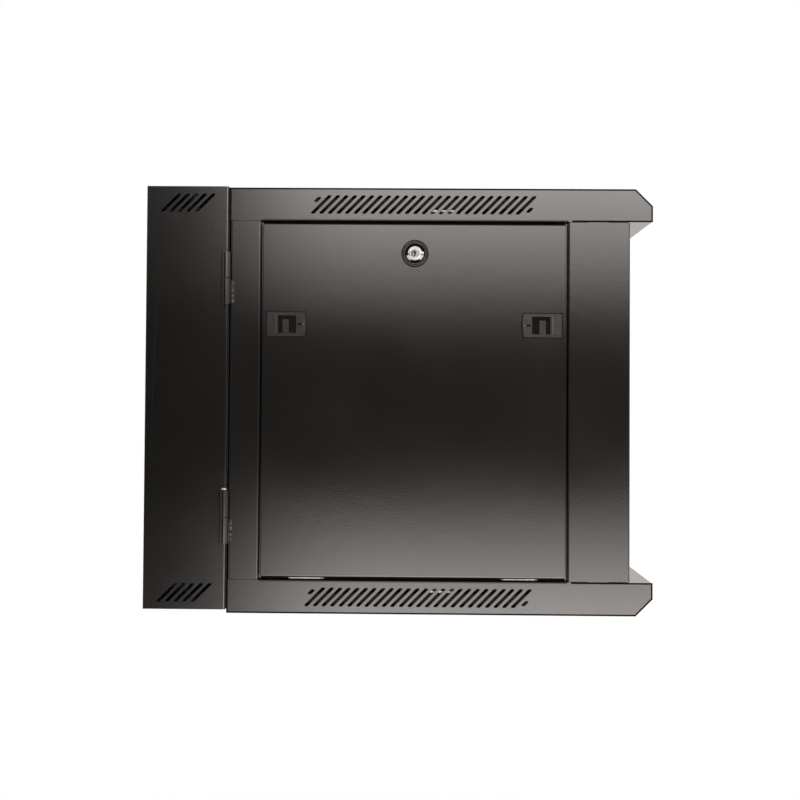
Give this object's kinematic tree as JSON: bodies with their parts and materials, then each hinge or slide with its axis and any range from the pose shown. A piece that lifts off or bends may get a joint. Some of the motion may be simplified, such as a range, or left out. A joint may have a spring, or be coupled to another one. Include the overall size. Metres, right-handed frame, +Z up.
{
  "type": "wall mount network cabinet",
  "caption": "Swing-out wall cabinet for 19 inch equipment: wall section on barrel hinges, glass door, lockable side panels with slide latches, slotted roof and floor, rack rails.",
  "frame": {"origin": "middle of the wall section's back face, which lies on the wall", "axes": "+Z up, the front faces -Y, +Y points into the wall, the hinge side faces -X"},
  "size_m": [0.6149, 0.5973, 0.5024],
  "materials": {
    "body_paint": "semi-gloss black powder coat",
    "black_primer": "matt black dip coat",
    "zinc_plate": "bright zinc plated",
    "rack_zinc": "zinc plated sheet",
    "chrome_plate": "polished",
    "black_plastic": "satin black",
    "tinted_glass": "grey tinted, toughened",
    "black_rubber": "matt"
  },
  "bodies": {
    "wall_section": {"wall_back_panel": "body_paint", "wall_side_left": "body_paint", "wall_side_right": "body_paint", "wall_top": "body_paint", "wall_bottom": "body_paint", "wall_cable_covers": "body_paint", "wall_cover_screws": "body_paint", "wall_hinge_knuckles": "body_paint", "hinge_pins": "body_paint", "swing_keeper": "zinc_plate", "section_gasket": "black_rubber", "wall_ground_stud": "zinc_plate"},
    "cabinet_body": {"roof_panel": "body_paint", "floor_panel": "body_paint", "roof_rail_left": "body_paint", "roof_rail_right": "body_paint", "floor_rail_left": "body_paint", "floor_rail_right": "body_paint", "front_post_left": "body_paint", "front_post_right": "body_paint", "rear_post_left": "body_paint", "rear_post_right": "body_paint", "depth_bars_left": "black_primer", "depth_bars_right": "black_primer", "rack_rail_front_left": "rack_zinc", "rack_rail_front_right": "rack_zinc", "rack_rail_rear_left": "rack_zinc", "rack_rail_rear_right": "rack_zinc", "rail_bolts": "zinc_plate", "cable_covers": "body_paint", "cable_cover_screws": "body_paint", "panel_lugs": "body_paint", "body_hinge_knuckles": "body_paint", "body_ground_stud": "zinc_plate", "swing_lock_body": "black_plastic"},
    "swing_lock": {"swing_lock_plug": "chrome_plate", "swing_lock_cam": "zinc_plate"},
    "door": {"door_frame": "body_paint", "door_glass": "tinted_glass", "door_gasket": "black_rubber", "door_pivots": "zinc_plate", "door_lock_body": "black_plastic"},
    "door_lock": {"door_lock_plug": "chrome_plate", "door_lock_cam": "zinc_plate"},
    "door_top_pin": {"door_top_pin": "zinc_plate"},
    "side_panel_left": {"side_panel_left": "body_paint", "panel_lock_left_body": "black_plastic", "latch_housings_left": "black_plastic"},
    "panel_lock_left": {"panel_lock_left_plug": "chrome_plate", "panel_lock_left_cam": "zinc_plate"},
    "latch_left_rear": {"latch_slider_left_rear": "black_plastic"},
    "latch_left_front": {"latch_slider_left_front": "black_plastic"},
    "side_panel_right": {"side_panel_right": "body_paint", "panel_lock_right_body": "black_plastic", "latch_housings_right": "black_plastic"},
    "panel_lock_right": {"panel_lock_right_plug": "chrome_plate", "panel_lock_right_cam": "zinc_plate"},
    "latch_right_rear": {"latch_slider_right_rear": "black_plastic"},
    "latch_right_front": {"latch_slider_right_front": "black_plastic"}
  },
  "joints": [
    {"name": "body_swing", "type": "hinge", "parent": "wall_section", "child": "cabinet_body", "pos_m": [-0.3058, -0.095, 0], "axis": [0, 0, -1], "range_deg": [0, 100]},
    {"name": "swing_lock_turn", "type": "hinge", "parent": "cabinet_body", "child": "swing_lock", "pos_m": [0.3, -0.1167, -0.0027], "axis": [1, 0, 0], "range_deg": [0, 90]},
    {"name": "door_swing", "type": "hinge", "parent": "cabinet_body", "child": "door", "pos_m": [-0.27, -0.5651, 0], "axis": [0, 0, -1], "range_deg": [0, 115]},
    {"name": "door_lock_turn", "type": "hinge", "parent": "door", "child": "door_lock", "pos_m": [0.2495, -0.5701, -0.0027], "axis": [0, -1, 0], "range_deg": [0, 90]},
    {"name": "door_pin_slide", "type": "slide", "parent": "door", "child": "door_top_pin", "axis": [0, 0, 1], "range_m": [-0.007, 0], "stiffness_N_per_m": 200, "springref_m": 0.005},
    {"name": "side_panel_left_tilt", "type": "hinge", "parent": "cabinet_body", "child": "side_panel_left", "pos_m": [-0.3, -0.31665, -0.21], "axis": [0, -1, 0], "range_deg": [0, 30]},
    {"name": "panel_lock_left_turn", "type": "hinge", "parent": "side_panel_left", "child": "panel_lock_left", "pos_m": [-0.3, -0.31735, 0.1706], "axis": [-1, 0, 0], "range_deg": [0, 90]},
    {"name": "latch_left_rear_slide", "type": "slide", "parent": "side_panel_left", "child": "latch_left_rear", "axis": [0, 1, 0], "range_m": [-0.004, 0.0031], "stiffness_N_per_m": 150},
    {"name": "latch_left_front_slide", "type": "slide", "parent": "side_panel_left", "child": "latch_left_front", "axis": [0, -1, 0], "range_m": [-0.004, 0.0031], "stiffness_N_per_m": 150},
    {"name": "side_panel_right_tilt", "type": "hinge", "parent": "cabinet_body", "child": "side_panel_right", "pos_m": [0.3, -0.31665, -0.21], "axis": [0, 1, 0], "range_deg": [0, 30]},
    {"name": "panel_lock_right_turn", "type": "hinge", "parent": "side_panel_right", "child": "panel_lock_right", "pos_m": [0.3, -0.31735, 0.1706], "axis": [-1, 0, 0], "range_deg": [0, 90]},
    {"name": "latch_right_rear_slide", "type": "slide", "parent": "side_panel_right", "child": "latch_right_rear", "axis": [0, 1, 0], "range_m": [-0.004, 0.0031], "stiffness_N_per_m": 150},
    {"name": "latch_right_front_slide", "type": "slide", "parent": "side_panel_right", "child": "latch_right_front", "axis": [0, -1, 0], "range_m": [-0.004, 0.0031], "stiffness_N_per_m": 150}
  ]
}
